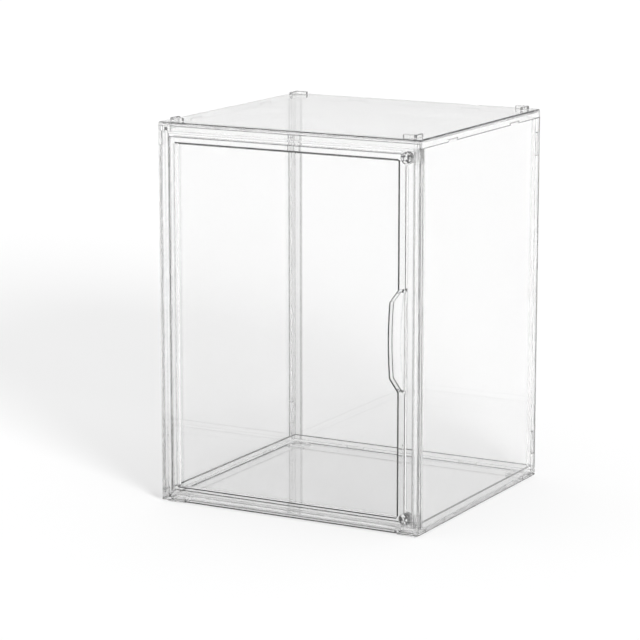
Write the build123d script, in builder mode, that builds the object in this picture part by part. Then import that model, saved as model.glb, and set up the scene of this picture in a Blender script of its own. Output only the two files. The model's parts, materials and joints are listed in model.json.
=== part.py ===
from build123d import *
import math
import os

os.makedirs("parts", exist_ok=True)

# Stackable clear display case for one figure, moulded in five panels and a hinged door.
# Millimetres. X runs left to right, Y from front to back, Z up.
# The origin is on the surface the case stands on, under the middle of its footprint.

# Overall sizes
case_width = 263.0
case_depth = 247.5
body_height = 348.0
foot_height = 2.0
corner_radius = 2.4

# Walls and the clearances between moulded pieces
panel_wall = 2.4
panel_recess = 0.6
joint_gap = 0.2
side_gap = 0.3
edge_round = 0.5

# Base tray
floor_thickness = 2.4
band_height = 4.4
sill_height = 6.1
rim_height = 9.2
rim_wall = 2.4
sill_wall = 2.2
foot_inset = 3.5
foot_size = 20.0
foot_round = 2.5
socket_depth = 4.3
socket_floor = 1.2
socket_wall = 2.0
rim_cove = 1.2

# Roof
roof_thickness = 3.0
roof_edge_round = 2.2
skirt_height = 8.0
skirt_wall = 2.7
stop_drop = 8.2

# Stacking lugs on the roof and the sockets that take them
lug_inset = 8.0
lug_length = 13.0
lug_width = 3.5
lug_height = 3.2
lug_round = 1.5
lug_edge_round = 1.0
socket_clearance = 0.4

# Front posts of the side panels
post_width = 4.6
post_depth = 9.4
post_inner_round = 1.5
stop_reach = 2.0
stop_wall = 2.2

# Square pegs of roof and base that plug into the posts
peg_width = 2.2
peg_depth = 4.4
peg_length = 12.0
peg_inset = 1.2
peg_clearance = 0.2

# Locating tabs along the upper edges and plug-in tabs along the lower edges
tab_width = 18.0
tab_front_inset = 63.5
tab_rear_inset = 57.0
tab_back_spacing = 120.0
notch_height = 2.6
notch_clearance = 0.5
tab_rise = 2.0
plug_length = 3.0
plug_wall = 1.6
plug_clearance = 0.2

# Corners of the back panel and the clips that hold the side panels in them
return_depth = 9.0
return_wall = 2.7
tongue_wall = 1.8
tongue_reach = 5.0
clip_length = 22.0
clip_width = 3.4
clip_set_back = 6.0
clip_height = 32.0
clip_clearance = 0.3

# Door
door_gap = 0.4
hinge_gap = 0.8
door_wall = 2.2
door_set_back = 0.8
door_depth = 7.4
flange_wall = 2.0
pane_wall = 1.5
rib_width = 6.0
rib_round = 3.0
rib_chamfer = 0.5
window_left_margin = 17.7
window_right_margin = 21.2
window_top_margin = 18.4
window_bottom_margin = 16.0
window_round = 1.5

# Hinge
barrel_radius = 2.6
pin_radius = 1.5
pin_length = 3.6
pin_clearance = 0.05
pin_end_gap = 0.4
hinge_boss_width = 8.0
hinge_boss_depth = 5.6

# Disc magnets: one pair at each corner of the door's free edge
magnet_radius = 5.0
magnet_thickness = 2.0
magnet_clearance = 0.1
magnet_chamfer = 0.2
magnet_inset = 15.4
magnet_lift = 12.2
magnet_drop = 16.4
magnet_boss_radius = 6.1
catch_gap = 0.3

# Finger pull in the free stile
pull_length = 91.0
pull_reach = 9.8
pull_slant = 11.5
pull_height = 173.5
pull_bow = 1.4
pull_round = 5.0
pull_wall = 1.9
pull_lead_in = 6.8
pull_depth = 7.4
pull_shelf_depth = 1.3
pull_ramp_run = 10.0
pull_sweep_radius = 300.0

# Planes of the case
left = -case_width / 2
right = case_width / 2
front = -case_depth / 2
back = case_depth / 2
base_bottom = foot_height
floor_top = base_bottom + floor_thickness
band_top = base_bottom + band_height
sill_top = base_bottom + sill_height
rim_top = base_bottom + rim_height
roof_top = base_bottom + body_height
roof_under = roof_top - roof_thickness
skirt_bottom = roof_top - skirt_height
panel_bottom = band_top + joint_gap
panel_top = skirt_bottom - joint_gap
panel_inner = panel_recess + panel_wall
rim_outer = panel_inner + joint_gap
rim_inner = rim_outer + rim_wall
door_rear = front + door_depth
catch_face = door_rear + catch_gap
stop_face = catch_face + side_gap
stop_rear = stop_face + rim_wall
post_inner = post_width + stop_reach
post_rear = stop_face + stop_wall

# Places of the tabs along each edge, and how far the upper ones reach out
side_tab_places = [front + tab_front_inset, back - tab_rear_inset]
back_tab_places = [-tab_back_spacing / 2, tab_back_spacing / 2]
clip_places = [base_bottom + clip_height, roof_top - clip_height]
tab_reach = panel_inner - joint_gap

# Door outline, window and hinge line
door_left = left + post_width + hinge_gap
door_right = right - post_width - door_gap
door_bottom = sill_top + door_gap
door_top = skirt_bottom - door_gap
window_left = left + window_left_margin
window_right = right - window_right_margin
window_bottom = window_bottom_margin
window_top = roof_top - window_top_margin
hinge_x = door_left + barrel_radius
hinge_y = front + barrel_radius
magnet_x = right - magnet_inset
lower_magnet_z = base_bottom + magnet_lift
upper_magnet_z = roof_top - magnet_drop
magnet_heights = [lower_magnet_z, upper_magnet_z]


def rect(u_low, u_high, v_low, v_high, mode=Mode.ADD):
    """A rectangle of the sketch between two limits each way."""
    with Locations(((u_low + u_high) / 2, (v_low + v_high) / 2)):
        Rectangle(u_high - u_low, v_high - v_low, mode=mode)


def facing(y):
    """The upright plane at y, seen from the front: sketch x is X and sketch y is Z."""
    return Plane.XZ.offset(-y)


def footprint(inset, radius, mode=Mode.ADD):
    """The rounded outline of the case, moved in by inset."""
    RectangleRounded(case_width - 2 * inset, case_depth - 2 * inset, radius, mode=mode)


def catch_lug(z, root_z):
    """A round-ended lug at the free corner of the door, from root_z to the magnet's place."""
    with BuildSketch(facing(catch_face)) as lug:
        with Locations((magnet_x, z)):
            Circle(magnet_boss_radius)
        rect(
            magnet_x - magnet_boss_radius,
            magnet_x + magnet_boss_radius,
            min(z, root_z),
            max(z, root_z),
        )
    extrude(lug.sketch, amount=-(stop_rear - catch_face))
    with BuildSketch(facing(catch_face)) as seat:
        with Locations((magnet_x, z)):
            Circle(magnet_radius + magnet_clearance)
    extrude(seat.sketch, amount=-(magnet_thickness + magnet_clearance), mode=Mode.SUBTRACT)


def post_pegs(root_z, tip_z):
    """The two square pegs that plug into the front posts."""
    peg_x = case_width / 2 - peg_inset - peg_width / 2
    peg_y = front + peg_inset + peg_depth / 2
    with BuildSketch(Plane.XY.offset(root_z)) as pegs:
        with Locations((-peg_x, peg_y), (peg_x, peg_y)):
            RectangleRounded(peg_width, peg_depth, edge_round)
    extrude(pegs.sketch, amount=tip_z - root_z)


# Base tray: floor, outer band, sill under the door, inner rim and four hollow feet
with BuildPart() as base_panel:
    with BuildSketch(Plane.XY.offset(base_bottom)):
        footprint(0, corner_radius)
    extrude(amount=band_height)
    with BuildSketch(Plane.XY.offset(floor_top)):
        rect(left + rim_inner, right - rim_inner, stop_rear, back - rim_inner)
    extrude(amount=band_top - floor_top, mode=Mode.SUBTRACT)

    # The sill, a channel open to below between the front feet
    with BuildSketch(Plane.XY.offset(band_top)):
        footprint(0, corner_radius)
        rect(left, right, stop_rear, back, mode=Mode.SUBTRACT)
    extrude(amount=sill_top - band_top)
    foot_end = foot_inset + foot_size + side_gap
    with BuildSketch(Plane.XY.offset(base_bottom)):
        rect(left + foot_end, right - foot_end, front + panel_wall, stop_face)
    extrude(amount=sill_height - sill_wall, mode=Mode.SUBTRACT)

    # The inner rim, cut away round the front posts
    with BuildSketch(Plane.XY.offset(floor_top)):
        rect(left + rim_outer, right - rim_outer, stop_face, back - rim_outer)
        rect(left + rim_inner, right - rim_inner, stop_rear, back - rim_inner, mode=Mode.SUBTRACT)
    extrude(amount=rim_top - floor_top)
    fillet(base_panel.edges().filter_by_position(Axis.Z, floor_top, floor_top), rim_cove)
    with BuildSketch(Plane.XY.offset(sill_top)):
        for side in (-1, 1):
            inner_x = side * (case_width / 2 - post_inner - side_gap)
            rect(min(inner_x, side * case_width), max(inner_x, side * case_width), front, post_rear + side_gap)
    extrude(amount=rim_height, mode=Mode.SUBTRACT)

    # Feet with a socket each for the stacking lugs of a case below, and a boss over each socket
    foot_centre = foot_inset + foot_size / 2
    socket_inset = lug_inset - socket_clearance
    socket_size = lug_length + 2 * socket_clearance
    socket_centre = socket_inset + socket_size / 2
    with BuildSketch(Plane.XY):
        with GridLocations(case_width - 2 * foot_centre, case_depth - 2 * foot_centre, 2, 2):
            RectangleRounded(foot_size, foot_size, foot_round)
    extrude(amount=floor_top)
    with BuildSketch(Plane.XY.offset(base_bottom)):
        with GridLocations(case_width - 2 * socket_centre, case_depth - 2 * socket_centre, 2, 2):
            boss_size = socket_size + 2 * socket_wall
            RectangleRounded(boss_size, boss_size, lug_round)
    extrude(amount=socket_depth + socket_floor - base_bottom)
    with BuildSketch(Plane.XY):
        with GridLocations(case_width - 2 * socket_centre, case_depth - 2 * socket_centre, 2, 2):
            RectangleRounded(socket_size, socket_size, lug_round)
    extrude(amount=socket_depth, mode=Mode.SUBTRACT)

    # Slots for the plug-in tabs of the side and back panels
    slot_centre = panel_recess + panel_wall / 2
    slot_wall = plug_wall + 2 * plug_clearance
    slot_length = tab_width + 2 * plug_clearance
    with BuildSketch(Plane.XY.offset(band_top)):
        with Locations(*[(s * (case_width / 2 - slot_centre), y) for s in (-1, 1) for y in side_tab_places]):
            Rectangle(slot_wall, slot_length)
        with Locations(*[(x, back - slot_centre) for x in back_tab_places]):
            Rectangle(slot_length, slot_wall)
    extrude(amount=-(plug_length - joint_gap + plug_clearance), mode=Mode.SUBTRACT)

    # Lower catch, pegs for the posts and the lower hinge hole
    catch_lug(lower_magnet_z, sill_top)
    post_pegs(sill_top, sill_top + peg_length)
    with Locations((hinge_x, hinge_y, sill_top)):
        Hole(pin_radius + pin_clearance, pin_length - door_gap + pin_end_gap)
base_panel.part.label = "base_panel"

# Roof: flat top with a skirt, stacking lugs, door stop, hinge boss and upper catch
with BuildPart() as roof_panel:
    with BuildSketch(Plane.XY.offset(skirt_bottom)):
        footprint(0, corner_radius)
    extrude(amount=skirt_height)
    fillet(roof_panel.faces().sort_by(Axis.Z)[-1].edges(), roof_edge_round)
    with BuildSketch(Plane.XY.offset(skirt_bottom)):
        footprint(skirt_wall, edge_round)
    extrude(amount=roof_under - skirt_bottom, mode=Mode.SUBTRACT)

    with BuildSketch(Plane.XY.offset(roof_top)):
        lug_end = lug_inset + lug_length
        footprint(lug_inset, lug_round)
        footprint(lug_inset + lug_width, edge_round, mode=Mode.SUBTRACT)
        Rectangle(case_width - 2 * lug_end, case_depth, mode=Mode.SUBTRACT)
        Rectangle(case_width, case_depth - 2 * lug_end, mode=Mode.SUBTRACT)
    extrude(amount=lug_height)
    fillet(roof_panel.faces().sort_by(Axis.Z)[-4:].edges(), lug_edge_round)

    # The rib the door shuts against and the hinge boss
    with BuildSketch(Plane.XY.offset(roof_under)):
        stop_end = post_inner + side_gap
        rect(left + stop_end, right - stop_end, stop_face, stop_rear)
    extrude(amount=-stop_drop)
    with BuildSketch(Plane.XY.offset(skirt_bottom)):
        rect(
            hinge_x - hinge_boss_width / 2,
            hinge_x + hinge_boss_width / 2,
            front + skirt_wall,
            front + hinge_boss_depth,
        )
    extrude(amount=roof_under - skirt_bottom)
    with Locations(Location((hinge_x, hinge_y, skirt_bottom), (180, 0, 0))):
        Hole(pin_radius + pin_clearance, pin_length - door_gap + pin_end_gap)

    # Notches in the skirt where the locating tabs show
    notch_width = tab_width + 2 * notch_clearance
    with BuildSketch(Plane.XY.offset(skirt_bottom)):
        skirt_centre = skirt_wall / 2
        with Locations(*[(s * (case_width / 2 - skirt_centre), y) for s in (-1, 1) for y in side_tab_places]):
            Rectangle(skirt_wall, notch_width)
        with Locations(*[(x, back - skirt_centre) for x in back_tab_places]):
            Rectangle(notch_width, skirt_wall)
    extrude(amount=notch_height, mode=Mode.SUBTRACT)

    catch_lug(upper_magnet_z, roof_under)
    post_pegs(skirt_bottom, skirt_bottom - peg_length)
roof_panel.part.label = "roof_panel"


def locating_tabs(centres, size):
    """Tabs along the upper edge of a panel, each in its notch in the roof's skirt."""
    with BuildSketch(Plane.XY.offset(panel_top)) as tabs:
        with Locations(*centres):
            Rectangle(*size)
    extrude(tabs.sketch, amount=joint_gap + tab_rise)


# Right side panel: flat sheet, front post, tabs and the tongue that the back panel clips over
with BuildPart() as right_panel:
    with BuildSketch(Plane.YZ.offset(right - panel_inner)):
        rect(front + panel_inner, back - return_depth - joint_gap, panel_bottom, panel_top)
        rect(front, stop_rear + joint_gap, panel_bottom, sill_top + joint_gap, mode=Mode.SUBTRACT)
    extrude(amount=panel_wall)

    with BuildSketch(Plane.XY.offset(sill_top + joint_gap)) as post:
        rect(right - post_width, right, front, front + post_depth)
        rect(right - post_inner, right - panel_recess, stop_face, post_rear)
        fillet(post.vertices().group_by(Axis.Y)[0].sort_by(Axis.X)[-1], corner_radius)
        fillet(post.vertices().group_by(Axis.Y)[0].sort_by(Axis.X)[0], post_inner_round)
    extrude(amount=panel_top - sill_top - joint_gap)

    # Blind sockets for the pegs of base and roof
    hole_width = peg_width + 2 * peg_clearance
    hole_depth = peg_depth + 2 * peg_clearance
    for plane_z, direction in ((sill_top + joint_gap, 1), (panel_top, -1)):
        with BuildSketch(Plane.XY.offset(plane_z)):
            with Locations((right - peg_inset - peg_width / 2, front + peg_inset + peg_depth / 2)):
                Rectangle(hole_width, hole_depth)
        extrude(amount=direction * (peg_length + peg_clearance), mode=Mode.SUBTRACT)

    locating_tabs([(right - panel_inner + tab_reach / 2, y) for y in side_tab_places], (tab_reach, tab_width))
    with BuildSketch(Plane.XY.offset(panel_bottom)):
        with Locations(*[(right - slot_centre, y) for y in side_tab_places]):
            Rectangle(plug_wall, tab_width)
    extrude(amount=-plug_length)

    # Tongue along the rear edge, with two rounded clips on its outer face
    tongue_bottom = rim_top + side_gap
    with BuildSketch(Plane.YZ.offset(right - panel_inner)):
        rect(
            back - return_depth - tongue_reach,
            back - panel_inner - side_gap,
            tongue_bottom,
            panel_top,
        )
    extrude(amount=-tongue_wall)
    with BuildSketch(Plane.YZ.offset(right - panel_inner)):
        with Locations(*[(back - clip_set_back, z) for z in clip_places]):
            SlotOverall(clip_length, clip_width, rotation=90)
    extrude(amount=panel_wall)
right_panel.part.label = "right_panel"

with BuildPart() as left_panel:
    mirror(right_panel.part, about=Plane.YZ)
left_panel.part.label = "left_panel"

# Back panel: flat sheet whose upright edges wrap round both rear corners
with BuildPart() as back_panel:
    with BuildSketch(facing(back - panel_inner)):
        rect(left + return_wall, right - return_wall, panel_bottom, panel_top)
    extrude(amount=-panel_wall)
    with BuildSketch(Plane.XY.offset(panel_bottom)):
        footprint(0, corner_radius)
        rect(left, right, front, back - return_depth, mode=Mode.SUBTRACT)
        rect(left + return_wall, right - return_wall, front, back - panel_inner, mode=Mode.SUBTRACT)
        rect(left + return_depth, right - return_depth, front, back, mode=Mode.SUBTRACT)
    extrude(amount=panel_top - panel_bottom)

    # Windows that the clips of the side panels snap into
    window_clip_length = clip_length + 2 * clip_clearance
    window_clip_width = clip_width + 2 * clip_clearance
    with BuildSketch(Plane.YZ.offset(left)):
        with Locations(*[(back - clip_set_back, z) for z in clip_places]):
            SlotOverall(window_clip_length, window_clip_width, rotation=90)
    extrude(amount=case_width, mode=Mode.SUBTRACT)

    locating_tabs([(x, back - panel_inner + tab_reach / 2) for x in back_tab_places], (tab_width, tab_reach))
    with BuildSketch(Plane.XY.offset(panel_bottom)):
        with Locations(*[(x, back - slot_centre) for x in back_tab_places]):
            Rectangle(tab_width, plug_wall)
    extrude(amount=-plug_length)
back_panel.part.label = "back_panel"


def pull_outline(inset):
    """The outline of the finger pull seen from the front, moved in by inset."""
    half_long = pull_length / 2
    half_short = half_long - pull_slant
    lip_x = window_right - pull_reach
    rest_x = window_right + pull_lead_in + pull_wall
    with BuildSketch(facing(front)) as outline:
        with BuildLine():
            lip = ThreePointArc(
                (lip_x + pull_bow, pull_height - half_short),
                (lip_x, pull_height),
                (lip_x + pull_bow, pull_height + half_short),
            )
            Polyline(
                lip @ 1,
                (window_right, pull_height + half_long),
                (rest_x, pull_height + half_long),
                (rest_x, pull_height - half_long),
                (window_right, pull_height - half_long),
                lip @ 0,
            )
        make_face()
        fillet(outline.vertices().group_by(Axis.X)[0], pull_round)
        if inset > 0:
            offset(amount=-inset, mode=Mode.REPLACE)
    return outline.sketch


def pull_scoop(grow):
    """The scoop of the finger pull as a level section, moved out by grow, at one end of its sweep."""
    lip_x = window_right - pull_reach
    rest_x = window_right + pull_lead_in
    shelf_x = rest_x - pull_length**2 / (8 * pull_sweep_radius)
    floor_y = front + pull_depth
    shelf_y = front + pull_shelf_depth
    with BuildSketch(Plane.XY.offset(pull_height)) as section:
        with BuildLine():
            floor_line = Polyline((lip_x, front), (lip_x, floor_y), (shelf_x - pull_ramp_run, floor_y))
            ramp = TangentArc(floor_line @ 1, (shelf_x, shelf_y), tangent=(1, 0))
            Polyline(ramp @ 1, (rest_x + pull_wall, shelf_y), (rest_x + pull_wall, front), (lip_x, front))
        make_face()
        if grow > 0:
            offset(amount=grow, mode=Mode.REPLACE)
    return section.sketch.rotate(pull_axis, -pull_sweep / 2)


# The scoop is a level section swept about an axis that runs front to back, far to the right of the pull
pull_axis = Axis((window_right - pull_reach + pull_sweep_radius, front, pull_height), (0, 1, 0))
pull_sweep = 2 * math.degrees(math.asin(pull_length / pull_sweep_radius))

# The hollow of the finger pull, and the cup that walls it in
with BuildPart() as pull_hollow:
    extrude(pull_outline(pull_wall), amount=-pull_depth)
    revolve(pull_scoop(0), axis=pull_axis, revolution_arc=pull_sweep, mode=Mode.INTERSECT)

with BuildPart() as pull_cup:
    extrude(pull_outline(0), amount=-(pull_depth + pull_wall))
    revolve(pull_scoop(pull_wall), axis=pull_axis, revolution_arc=pull_sweep, mode=Mode.INTERSECT)
    chamfer(pull_cup.faces().sort_by(Axis.Y)[0].edges(), rib_chamfer)

# Door: stiles, window pane, raised rib round it, rear flange, hinge barrel, pins and finger pull
with BuildPart() as door:
    with BuildSketch(facing(front + door_set_back)):
        rect(hinge_x, door_right, door_bottom, door_top)
        rect(window_left, window_right, window_bottom, window_top, mode=Mode.SUBTRACT)
    extrude(amount=-door_wall)
    with BuildSketch(facing(front + door_set_back)):
        rect(hinge_x, door_right, door_bottom, door_top)
        rect(
            door_left,
            door_right - flange_wall,
            door_bottom + flange_wall,
            door_top - flange_wall,
            mode=Mode.SUBTRACT,
        )
    extrude(amount=-(door_depth - door_set_back))
    with BuildSketch(Plane.XY.offset(door_bottom)):
        with Locations((hinge_x, hinge_y)):
            Circle(barrel_radius)
    extrude(amount=door_top - door_bottom)

    # The rib, a band round the window that swells into the finger pull, and the pane at its rear
    window_width = window_right - window_left
    window_height = window_top - window_bottom
    window_centre = ((window_left + window_right) / 2, (window_bottom + window_top) / 2)
    with BuildSketch(facing(front)):
        with Locations(window_centre):
            RectangleRounded(window_width + 2 * rib_width, window_height + 2 * rib_width, rib_round)
            RectangleRounded(window_width, window_height, window_round, mode=Mode.SUBTRACT)
    extrude(amount=-door_depth)
    chamfer(door.faces().sort_by(Axis.Y)[0].edges(), rib_chamfer)
    with BuildSketch(facing(door_rear)):
        with Locations(window_centre):
            Rectangle(window_width + rib_width, window_height + rib_width)
    extrude(amount=pane_wall)
    add(pull_cup.part)
    add(pull_hollow.part, mode=Mode.SUBTRACT)

    # Bosses for the disc magnets, open to the rear
    with BuildSketch(facing(front)):
        with Locations(*[(magnet_x, z) for z in magnet_heights]):
            Circle(magnet_boss_radius)
    extrude(amount=-door_depth)
    with BuildSketch(facing(door_rear)):
        with Locations(*[(magnet_x, z) for z in magnet_heights]):
            Circle(magnet_radius + magnet_clearance)
    extrude(amount=magnet_thickness + magnet_clearance, mode=Mode.SUBTRACT)

    # Hinge pins, one up into the roof and one down into the base
    for pin_root, direction in ((door_top, 1), (door_bottom, -1)):
        with BuildSketch(Plane.XY.offset(pin_root)):
            with Locations((hinge_x, hinge_y)):
                Circle(pin_radius)
        extrude(amount=direction * pin_length)
door.part.label = "door"


def disc_magnet(face_y, z):
    """A disc magnet whose front face is at face_y, centred at height z."""
    with BuildPart() as magnet:
        with BuildSketch(facing(face_y)):
            with Locations((magnet_x, z)):
                Circle(magnet_radius)
        extrude(amount=-magnet_thickness)
        chamfer(magnet.edges(), magnet_chamfer)
    return magnet.part


# Disc magnets, one pair at each corner of the door's free edge
magnet_seat = magnet_clearance / 2
magnets = {
    "door_magnet_lower": disc_magnet(door_rear - magnet_seat - magnet_thickness, lower_magnet_z),
    "door_magnet_upper": disc_magnet(door_rear - magnet_seat - magnet_thickness, upper_magnet_z),
    "catch_magnet_lower": disc_magnet(catch_face + magnet_seat, lower_magnet_z),
    "catch_magnet_upper": disc_magnet(catch_face + magnet_seat, upper_magnet_z),
}

pieces = [base_panel.part, roof_panel.part, left_panel.part, right_panel.part, back_panel.part, door.part]
for name, magnet in magnets.items():
    magnet.label = name
    pieces.append(magnet)

for piece in pieces:
    export_step(piece, f"parts/{piece.label}.step")
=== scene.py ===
import json
import math

import bpy
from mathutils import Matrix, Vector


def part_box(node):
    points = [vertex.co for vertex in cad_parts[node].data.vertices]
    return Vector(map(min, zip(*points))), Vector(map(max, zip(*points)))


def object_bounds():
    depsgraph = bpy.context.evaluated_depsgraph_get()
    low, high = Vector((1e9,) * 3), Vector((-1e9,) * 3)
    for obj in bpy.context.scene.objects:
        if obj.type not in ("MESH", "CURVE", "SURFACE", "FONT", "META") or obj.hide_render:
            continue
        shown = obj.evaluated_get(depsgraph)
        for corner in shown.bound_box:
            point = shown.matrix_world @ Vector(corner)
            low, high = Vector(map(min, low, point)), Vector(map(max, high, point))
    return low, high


# Clear display case on a plain white floor. Metres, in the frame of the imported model.

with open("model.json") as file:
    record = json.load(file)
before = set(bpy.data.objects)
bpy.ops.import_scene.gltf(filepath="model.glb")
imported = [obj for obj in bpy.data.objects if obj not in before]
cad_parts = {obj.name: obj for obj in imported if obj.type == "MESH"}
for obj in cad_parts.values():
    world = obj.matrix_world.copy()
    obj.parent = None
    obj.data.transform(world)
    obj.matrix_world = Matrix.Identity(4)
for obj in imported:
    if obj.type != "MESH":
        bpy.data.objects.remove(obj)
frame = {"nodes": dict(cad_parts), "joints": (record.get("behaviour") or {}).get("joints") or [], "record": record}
cad_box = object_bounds()
nodes = frame["nodes"]
MM = 0.001

# Camera
CAMERA_PLACE = (1.1880, -2.2284, 0.6714)
CAMERA_AZIMUTH = 28.732
CAMERA_ELEVATION = 11.448
CAMERA_LENS = 157.29
CAMERA_REACH = 100.0
SENSOR_WIDTH = 36.0

# Floor
FLOOR_SIZE = 60.0
FLOOR_DROP = 0.0001
FLOOR_COLOUR = (0.93, 0.93, 0.93, 1.0)

# Key light: a lamp to the right of the case and in front of it, as wide as a small softbox
KEY_PLACE = (1.00, -0.86, 0.82)
KEY_RADIUS = 0.22
KEY_STRENGTH = 41.5

# Studio round the case: brightness of the surroundings from the horizon up to straight overhead
WORLD_BANDS = ((0.0, 0.84), (0.30, 0.84), (0.45, 0.15), (1.0, 0.15))

# Light paths, long enough for the many walls of a clear case
CLEAR_BOUNCES = 40
GLOSSY_BOUNCES = 12

# Clear plastic
PLASTIC_IOR = 1.52
PLASTIC_TINT = (0.97, 0.97, 0.97, 1.0)
SHADOW_TINT = (0.95, 0.95, 0.95, 1.0)
RIPPLE_SCALE = 14.0
RIPPLE_DETAIL = 1.0
RIPPLE_DEPTH = 0.00003
SMUDGE_SCALE = 9.0
SMUDGE_DETAIL = 5.0
SMUDGE_NOISE = (0.55, 0.75)
SMUDGE_ROUGHNESS = (0.0, 0.012)

# Nickel plate of the magnets: the noise of its blotches, and the tone and roughness that it gives
BLOTCH_SCALE = 420.0
BLOTCH_DETAIL = 2.0
BLOTCH_DEPTH = 0.00035
TONE_NOISE = (0.42, 0.58)
TONE = (0.03, 0.95)
HAZE_NOISE = (0.35, 0.65)
HAZE = (0.08, 0.28)

# A wall is an inner mirror above this reflectance, and a side wall below this facing share
MIRROR_START = 0.5
FACE_START = 0.5

# Share of the light inside a piece that leaves its path at an inner mirror, and how brightly it leaks out
# On side walls and bevels the lost light is a painted shade, darkening the edges as bent light would
FACE_LOSS = 0.1
LEVEL_WALL_LOSS, LEVEL_LEAK = 0.3, 0.95
SIDE_WALL_LOSS, SIDE_LEAK = 0.4, 0.85
BACK_WALL_LOSS, BACK_LEAK = 0.3, 0.6
DOOR_WALL_LOSS, DOOR_LEAK = 0.4, 0.5
# Walls round the door's window lose nearly all light held in them: a painted shade for their dark edges
WINDOW_WALL_LOSS = 0.93
# Walls of the roof's lugs: painted shade
LUG_LOSS = 0.5

# Nothing leaks out where a painted dark line, a painted shade, is at least this strong
LINE_START = 0.1
BACK_LINE_START = 0.01


def edge(place):
    """A place from the frame, to a thousandth of a millimetre."""
    return round(place, 6)


def span(start_edge, start, end):
    """The stretch between two places, each so many millimetres from an edge."""
    return start_edge + start * MM, start_edge + end * MM


# Edges of the case, as the door is faced, and the tops of the tabs on its panels
LEFT, FRONT = edge(cad_box[0][0]), edge(cad_box[0][1])
RIGHT = edge(cad_box[1][0])
BASE_BOTTOM = 2.0 * MM
RIM_TOP = 11.2 * MM
TAB_TOP = edge(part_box("right_panel")[1][2])
ROOF_TOP = next(mount["pos_m"][2] for mount in frame["record"]["mounts"] if mount["name"] == "roof_top")
SKIRT_BOTTOM = ROOF_TOP - 8.0 * MM

# Edges of the door, its window, the rib round it and the two hinge pins
door_low, door_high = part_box("door")
PIN_LENGTH = 3.6 * MM
PIN_BOTTOM, PIN_TOP = edge(door_low[2]), edge(door_high[2])
DOOR_BOTTOM, DOOR_TOP = PIN_BOTTOM + PIN_LENGTH, PIN_TOP - PIN_LENGTH
DOOR_RIGHT = edge(door_high[0])
HINGE_X = frame["joints"][0]["pos_m"][0]
WINDOW_LEFT, WINDOW_RIGHT = LEFT + 17.7 * MM, RIGHT - 21.2 * MM
WINDOW_BOTTOM, WINDOW_TOP = 16.0 * MM, ROOF_TOP - 18.4 * MM
RIB_WIDTH = 6.0 * MM
RIB_LEFT, RIB_RIGHT = WINDOW_LEFT - RIB_WIDTH, WINDOW_RIGHT + RIB_WIDTH
RIB_BOTTOM, RIB_TOP = WINDOW_BOTTOM - RIB_WIDTH, WINDOW_TOP + RIB_WIDTH
PULL_HEIGHT = 173.5 * MM

# Lugs on the roof, and the part of the door round its window whose walls get painted shade
LUG_RISE = span(ROOF_TOP, 0.1, 10.0)
DARK_ACROSS = (WINDOW_LEFT + 3.8 * MM, WINDOW_RIGHT + 1.5 * MM)
DARK_UP = (WINDOW_BOTTOM - 2.0 * MM, WINDOW_TOP + 1.4 * MM)

# Stretches that the lines of the door cover: in depth, across, and upwards
RIB_DEPTH = span(FRONT, -0.25, 2.75)
PANE_DEPTH = span(FRONT, 4.75, 7.75)
PIN_ACROSS = span(HINGE_X, -1.7, 1.7)
WINDOW_ACROSS = (WINDOW_LEFT + 0.3 * MM, WINDOW_RIGHT)
RIB_ACROSS = (RIB_LEFT + 1.0 * MM, RIB_RIGHT - 0.3 * MM)
WINDOW_UP = (WINDOW_BOTTOM, WINDOW_TOP)
PANE_UP = (WINDOW_BOTTOM, WINDOW_TOP - 0.6 * MM)
STILE_UP = (WINDOW_BOTTOM + 9.0 * MM, WINDOW_TOP - 5.6 * MM)

# Thin dark lines painted on the plastic: painted shade standing in for the dark lines that bent light
# shows at moulded edges. Each gives the stretch of the piece that it covers, and its strength. They
# were placed by comparing renders with the photograph, and they stay on the piece.
LEVEL_LINES = (
    # Rounded upper edge of the roof
    ({"Z": span(ROOF_TOP, -0.75, -0.15)}, 0.45),
    # Front of the roof, just under its plate
    ({"Z": span(ROOF_TOP, -3.7, -3.1), "Y": span(FRONT, -0.25, 3.75)}, 0.45),
    # Lower edge of the skirt on the right
    ({"Z": span(SKIRT_BOTTOM, 0.05, 0.7), "X": span(RIGHT, -1.5, 0.5)}, 0.75),
    # Top of the base's rim
    ({"Z": span(RIM_TOP, -0.35, 0.1)}, 0.7),
    # Lower edge of the base
    ({"Z": span(BASE_BOTTOM, 0.05, 0.7)}, 0.75),
)
SIDE_LINES = (
    # Right side, just behind the front corner
    ({"X": span(RIGHT, -1.0, 0.5), "Y": span(FRONT, 4.15, 5.45)}, 0.8),
    # Tops of the panel's tabs
    ({"Z": span(TAB_TOP, -0.7, 0.1)}, 0.25),
)
BACK_LINES = (
    # Rear left column: two lines, with a faint band between them
    ({"X": span(LEFT, 1.8, 3.8)}, 0.22),
    ({"X": span(LEFT, 3.8, 9.5)}, 0.06),
    ({"X": span(LEFT, 9.5, 11.6)}, 0.24),
    # Tops of the panel's tabs
    ({"Z": span(TAB_TOP, -0.7, 0.1)}, 0.25),
)
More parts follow.
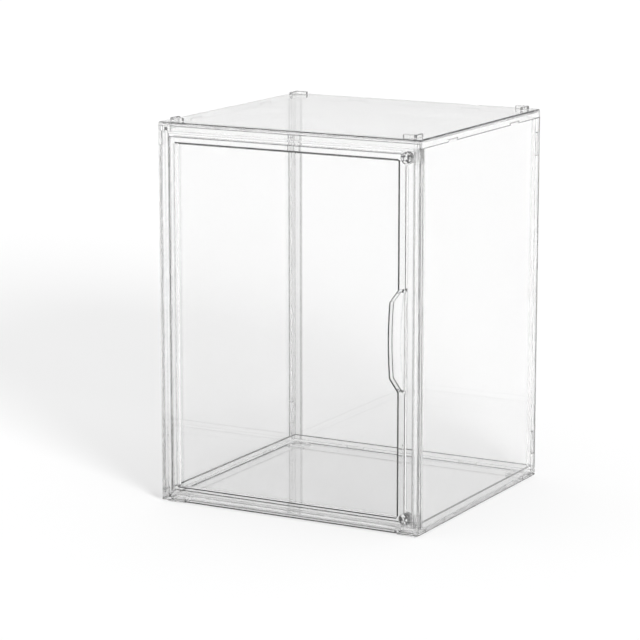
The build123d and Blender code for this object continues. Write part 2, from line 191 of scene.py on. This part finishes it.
DOOR_LINES = (
    # Top of the window, on the rib and on the pane
    ({"X": WINDOW_ACROSS, "Y": RIB_DEPTH, "Z": span(WINDOW_TOP, 0.0, 1.2)}, 0.8),
    ({"X": WINDOW_ACROSS, "Y": PANE_DEPTH, "Z": span(WINDOW_TOP, -1.5, -0.6)}, 0.45),
    # Bottom and right of the window, on the rib
    ({"X": WINDOW_ACROSS, "Y": RIB_DEPTH, "Z": span(WINDOW_BOTTOM, -0.9, 0.0)}, 0.8),
    ({"X": span(WINDOW_RIGHT, 0.0, 0.5), "Y": RIB_DEPTH, "Z": WINDOW_UP}, 0.8),
    # Outer left edge of the rib
    ({"X": span(RIB_LEFT, 0.0, 1.0), "Y": RIB_DEPTH, "Z": (RIB_BOTTOM, RIB_TOP)}, 0.9),
    # Left of the window, on the rib and on the pane
    ({"X": span(WINDOW_LEFT, -1.4, 0.0), "Y": RIB_DEPTH, "Z": WINDOW_UP}, 0.2),
    ({"X": span(WINDOW_LEFT, 0.6, 2.6), "Y": PANE_DEPTH, "Z": PANE_UP}, 0.09),
    # Upper and lower hinge pins
    ({"X": PIN_ACROSS, "Z": span(PIN_TOP, -2.7, 0.8)}, 0.6),
    ({"X": PIN_ACROSS, "Z": span(PIN_BOTTOM, -0.9, 3.1)}, 0.6),
    # Outer top and bottom edges of the rib
    ({"X": RIB_ACROSS, "Y": RIB_DEPTH, "Z": span(RIB_TOP, -0.8, 0.0)}, 0.6),
    ({"X": RIB_ACROSS, "Y": RIB_DEPTH, "Z": span(RIB_BOTTOM, 0.0, 0.6)}, 0.35),
    # Stile, where the photograph has a line and the door has no edge
    ({"X": span(RIB_RIGHT, 3.1, 3.7), "Y": RIB_DEPTH, "Z": STILE_UP}, 0.3),
    # Free edge of the door
    ({"X": span(DOOR_RIGHT, -2.0, -0.7), "Y": RIB_DEPTH, "Z": (DOOR_BOTTOM, DOOR_TOP)}, 0.35),
    # Right end of the finger pull's scoop
    ({"X": span(RIB_RIGHT, 0.1, 1.0), "Y": RIB_DEPTH, "Z": span(PULL_HEIGHT, -42.5, 42.5)}, 0.75),
)


class Material:
    """A node material, with short calls to add nodes and join them."""

    def __init__(self, name):
        self.data = bpy.data.materials.new(name)
        self.data.use_nodes = True
        self.tree = self.data.node_tree
        self.tree.nodes.clear()
        self.split = None

    def node(self, kind, **settings):
        made = self.tree.nodes.new(kind)
        for key, value in settings.items():
            setattr(made, key, value)
        return made

    def join(self, output, socket):
        self.tree.links.new(output, socket)

    def maths(self, operation, first, second):
        """A maths node on two inputs, each an output to join or a plain number."""
        made = self.node("ShaderNodeMath", operation=operation)
        for socket, value in zip(made.inputs, (first, second)):
            if isinstance(value, float):
                socket.default_value = value
            else:
                self.join(value, socket)
        return made.outputs["Value"]

    def place(self, axis):
        """The place on the piece along one of its own axes, in metres."""
        if self.split is None:
            self.split = self.node("ShaderNodeSeparateXYZ")
            self.join(self.node("ShaderNodeTexCoord").outputs["Object"], self.split.inputs["Vector"])
        return self.split.outputs[axis]

    def noise(self, scale, detail):
        """Noise that is fixed to the piece, so many features to the metre."""
        made = self.node("ShaderNodeTexNoise")
        made.inputs["Scale"].default_value = scale
        made.inputs["Detail"].default_value = detail
        self.join(self.node("ShaderNodeTexCoord").outputs["Object"], made.inputs["Vector"])
        return made.outputs["Fac"]

    def remap(self, value, source, target):
        """The value, with the source range stretched onto the target range."""
        made = self.node("ShaderNodeMapRange")
        for name, number in zip(("From Min", "From Max", "To Min", "To Max"), (*source, *target)):
            made.inputs[name].default_value = number
        self.join(value, made.inputs["Value"])
        return made.outputs["Result"]

    def bump(self, height, depth):
        made = self.node("ShaderNodeBump")
        made.inputs["Distance"].default_value = depth
        self.join(height, made.inputs["Height"])
        return made.outputs["Normal"]

    def mix(self, share, first, second):
        """The first shader where share is nought and the second where it is one."""
        made = self.node("ShaderNodeMixShader")
        for socket, output in zip(made.inputs, (share, first, second)):
            self.join(output, socket)
        return made.outputs["Shader"]

    def finish(self, shader):
        """Gives the surface its shader, and the finished Blender material back."""
        self.join(shader, self.node("ShaderNodeOutputMaterial").inputs["Surface"])
        return self.data


def inner_mirror(material):
    """One where light inside the plastic meets a wall too flat to leave through it, and nought elsewhere."""
    fresnel = material.node("ShaderNodeFresnel")
    fresnel.inputs["IOR"].default_value = PLASTIC_IOR
    geometry = material.node("ShaderNodeNewGeometry")
    held_in = material.maths("GREATER_THAN", fresnel.outputs["Fac"], MIRROR_START)
    return material.maths("MULTIPLY", held_in, geometry.outputs["Backfacing"])


def facing_share(material, axis):
    """How squarely the surface faces along one of the piece's own axes, from nought to one."""
    geometry = material.node("ShaderNodeNewGeometry")
    turned = material.node(
        "ShaderNodeVectorTransform", vector_type="NORMAL", convert_from="WORLD", convert_to="OBJECT"
    )
    split = material.node("ShaderNodeSeparateXYZ")
    material.join(geometry.outputs["True Normal"], turned.inputs["Vector"])
    material.join(turned.outputs["Vector"], split.inputs["Vector"])
    return material.maths("ABSOLUTE", split.outputs[axis], 0.0)


def wall_share(material, polished_axis):
    """One on the side walls and bevels of a piece, and nought on its large polished faces."""
    return material.maths("LESS_THAN", facing_share(material, polished_axis), FACE_START)


def blend(material, share, low, high):
    """The value low where share is nought and high where it is one."""
    return material.maths("ADD", material.maths("MULTIPLY", share, high - low), low)


def edge_loss(material, polished_axis, wall_loss):
    """The share of the light inside a piece that leaves its path at each inner mirror, most on the walls, where it
    is a painted shade on the edges.
    """
    walls = blend(material, wall_share(material, polished_axis), FACE_LOSS, wall_loss)
    return material.maths("MULTIPLY", inner_mirror(material), walls)


def within(material, axis, low, high):
    """One where the place on the piece lies between two levels along an axis, and nought elsewhere."""
    above = material.maths("GREATER_THAN", material.place(axis), low)
    return material.maths("MULTIPLY", above, material.maths("LESS_THAN", material.place(axis), high))


def painted_dark_lines(material, lines):
    """The strength of the painted dark lines, a painted shade, where the place on the piece is on one, and nought
    elsewhere.
    """
    total = 0.0
    for spans, strength in lines:
        share = strength
        for axis, (low, high) in spans.items():
            share = material.maths("MULTIPLY", within(material, axis, low, high), share)
        total = material.maths("ADD", share, total)
    return total


def leak_beside(material, leak, marks, mark_start):
    """How brightly lost light leaks out: not at all on a painted dark mark, and by the given share beside it."""
    return material.maths("MULTIPLY", leak, material.maths("LESS_THAN", marks, mark_start))


def clear_plastic(material, loss, leak):
    """Clear moulded plastic that bends light, with a slight ripple and faint smudges.

    The share of its rays that is lost goes straight on instead, as bright as leak says; where leak is
    below one, this is a painted shade. Rays on their way to a lamp all pass straight through, slightly
    dimmed.
    """
    plastic = material.node("ShaderNodeBsdfPrincipled")
    plastic.inputs["Base Color"].default_value = PLASTIC_TINT
    plastic.inputs["Transmission Weight"].default_value = 1.0
    plastic.inputs["IOR"].default_value = PLASTIC_IOR
    smudge = material.remap(material.noise(SMUDGE_SCALE, SMUDGE_DETAIL), SMUDGE_NOISE, SMUDGE_ROUGHNESS)
    material.join(smudge, plastic.inputs["Roughness"])
    ripple = material.bump(material.noise(RIPPLE_SCALE, RIPPLE_DETAIL), RIPPLE_DEPTH)
    material.join(ripple, plastic.inputs["Normal"])

    leaked = material.node("ShaderNodeBsdfTransparent")
    material.join(leak, leaked.inputs["Color"])
    seen = material.mix(loss, plastic.outputs["BSDF"], leaked.outputs["BSDF"])

    through = material.node("ShaderNodeBsdfTransparent")
    through.inputs["Color"].default_value = SHADOW_TINT
    to_lamp = material.node("ShaderNodeLightPath").outputs["Is Shadow Ray"]
    return material.finish(material.mix(to_lamp, seen, through.outputs["BSDF"]))


def level_plastic():
    """Plastic of the base and the roof, which lie level, with walls on the roof's lugs darkened by painted shade.
    """
    material = Material("level_plastic")
    lugs = within(material, "Z", *LUG_RISE)
    lines = painted_dark_lines(material, LEVEL_LINES)
    lug_loss = material.maths("MULTIPLY", material.maths("MULTIPLY", lugs, inner_mirror(material)), LUG_LOSS)
    loss = material.maths("MAXIMUM", edge_loss(material, "Z", LEVEL_WALL_LOSS), lug_loss)
    leak = leak_beside(material, LEVEL_LEAK, material.maths("ADD", lugs, lines), LINE_START)
    return clear_plastic(material, material.maths("MAXIMUM", loss, lines), leak)


def panel_plastic(name, polished_axis, wall_loss, leak_share, panel_lines, line_start):
    """Plastic of an upright panel, whose polished faces look along one axis, with painted shade on its walls and
    painted dark lines.
    """
    material = Material(name)
    lines = painted_dark_lines(material, panel_lines)
    loss = material.maths("MAXIMUM", edge_loss(material, polished_axis, wall_loss), lines)
    return clear_plastic(material, loss, leak_beside(material, leak_share, lines, line_start))


def door_plastic():
    """Plastic of the door, with polished faces, and walls round its window darkened by painted shade."""
    material = Material("door_plastic")
    window = material.maths(
        "MULTIPLY", within(material, "X", *DARK_ACROSS), within(material, "Z", *DARK_UP)
    )
    walls = blend(material, window, DOOR_WALL_LOSS, WINDOW_WALL_LOSS)
    wall_loss = material.maths("MULTIPLY", wall_share(material, "Y"), walls)
    lines = painted_dark_lines(material, DOOR_LINES)
    loss = material.maths("MAXIMUM", material.maths("MULTIPLY", inner_mirror(material), wall_loss), lines)
    leak = leak_beside(material, DOOR_LEAK, material.maths("ADD", window, lines), LINE_START)
    return clear_plastic(material, loss, leak)


def plated_metal():
    """Nickel plate, bright and uneven as on a small sintered magnet."""
    material = Material("magnet_nickel")
    metal = material.node("ShaderNodeBsdfPrincipled")
    metal.inputs["Metallic"].default_value = 1.0
    blotches = material.noise(BLOTCH_SCALE, BLOTCH_DETAIL)
    material.join(material.remap(blotches, TONE_NOISE, TONE), metal.inputs["Base Color"])
    material.join(material.remap(blotches, HAZE_NOISE, HAZE), metal.inputs["Roughness"])
    material.join(material.bump(blotches, BLOTCH_DEPTH), metal.inputs["Normal"])
    return material.finish(metal.outputs["BSDF"])


def floor_material():
    material = Material("floor_white")
    paint = material.node("ShaderNodeBsdfDiffuse")
    paint.inputs["Color"].default_value = FLOOR_COLOUR
    return material.finish(paint.outputs["BSDF"])


def dress(material, *node_names):
    for name in node_names:
        for slot in nodes[name].material_slots:
            slot.material = material


def make_camera():
    data = bpy.data.cameras.new("camera")
    data.lens = CAMERA_LENS
    data.sensor_width = SENSOR_WIDTH
    data.clip_end = CAMERA_REACH
    camera = bpy.data.objects.new("camera", data)
    camera.location = CAMERA_PLACE
    camera.rotation_euler = (math.radians(90.0 - CAMERA_ELEVATION), 0.0, math.radians(CAMERA_AZIMUTH))
    bpy.context.scene.collection.objects.link(camera)
    bpy.context.scene.camera = camera


def make_floor():
    mesh = bpy.data.meshes.new("floor")
    half = FLOOR_SIZE / 2
    corners = [(-half, -half, 0.0), (half, -half, 0.0), (half, half, 0.0), (-half, half, 0.0)]
    mesh.from_pydata(corners, [], [(0, 1, 2, 3)])
    mesh.materials.append(floor_material())
    floor = bpy.data.objects.new("floor", mesh)
    floor.location.z = -FLOOR_DROP
    bpy.context.scene.collection.objects.link(floor)


def make_key():
    """A lamp whose light grows with distance by as much as the floor turns away from it.

    So it lights the floor evenly. It isn't seen in mirrored or bent rays, because its image would
    lie on the roof as a large white patch.
    """
    data = bpy.data.lights.new("key", "POINT")
    data.shadow_soft_size = KEY_RADIUS
    data.energy = 1.0
    data.use_nodes = True
    tree = data.node_tree
    emission = tree.nodes["Emission"]
    falloff = tree.nodes.new("ShaderNodeLightFalloff")
    path = tree.nodes.new("ShaderNodeLightPath")
    reach = tree.nodes.new("ShaderNodeMath")
    reach.operation = "MULTIPLY"
    reach.inputs[1].default_value = KEY_STRENGTH
    tree.links.new(path.outputs["Ray Length"], reach.inputs[0])
    tree.links.new(reach.outputs[0], falloff.inputs["Strength"])
    tree.links.new(falloff.outputs["Constant"], emission.inputs["Strength"])
    key = bpy.data.objects.new("key", data)
    key.location = KEY_PLACE
    key.visible_glossy = False
    key.visible_transmission = False
    bpy.context.scene.collection.objects.link(key)


def make_world():
    """Surroundings that change in brightness with height above the horizon."""
    world = bpy.data.worlds.new("studio")
    bpy.context.scene.world = world
    world.use_nodes = True
    tree = world.node_tree
    background = tree.nodes["Background"]
    direction = tree.nodes.new("ShaderNodeTexCoord")
    split = tree.nodes.new("ShaderNodeSeparateXYZ")
    ramp = tree.nodes.new("ShaderNodeValToRGB")
    tree.links.new(direction.outputs["Generated"], split.inputs["Vector"])
    tree.links.new(split.outputs["Z"], ramp.inputs["Fac"])
    tree.links.new(ramp.outputs["Color"], background.inputs["Color"])
    stops = ramp.color_ramp.elements
    while len(stops) < len(WORLD_BANDS):
        stops.new(0.5)
    for stop, (height, level) in zip(stops, WORLD_BANDS):
        stop.position = height
        stop.color = (level, level, level, 1.0)


def set_paths():
    """Lets light follow long paths through the plastic, and shows the scene's colours as they are."""
    scene = bpy.context.scene
    scene.view_settings.view_transform = "Standard"
    cycles = scene.cycles
    cycles.max_bounces = CLEAR_BOUNCES
    cycles.transmission_bounces = CLEAR_BOUNCES
    cycles.transparent_max_bounces = CLEAR_BOUNCES
    cycles.glossy_bounces = GLOSSY_BOUNCES
    cycles.caustics_reflective = False
    cycles.caustics_refractive = False


dress(level_plastic(), "base_panel", "roof_panel")
side_plastic = panel_plastic("side_plastic", "X", SIDE_WALL_LOSS, SIDE_LEAK, SIDE_LINES, LINE_START)
dress(side_plastic, "left_panel", "right_panel")
back_plastic = panel_plastic("back_plastic", "Y", BACK_WALL_LOSS, BACK_LEAK, BACK_LINES, BACK_LINE_START)
dress(back_plastic, "back_panel")
dress(door_plastic(), "door")
dress(plated_metal(), "door_magnet_upper", "door_magnet_lower", "catch_magnet_upper", "catch_magnet_lower")

make_camera()
make_floor()
make_key()
make_world()
set_paths()
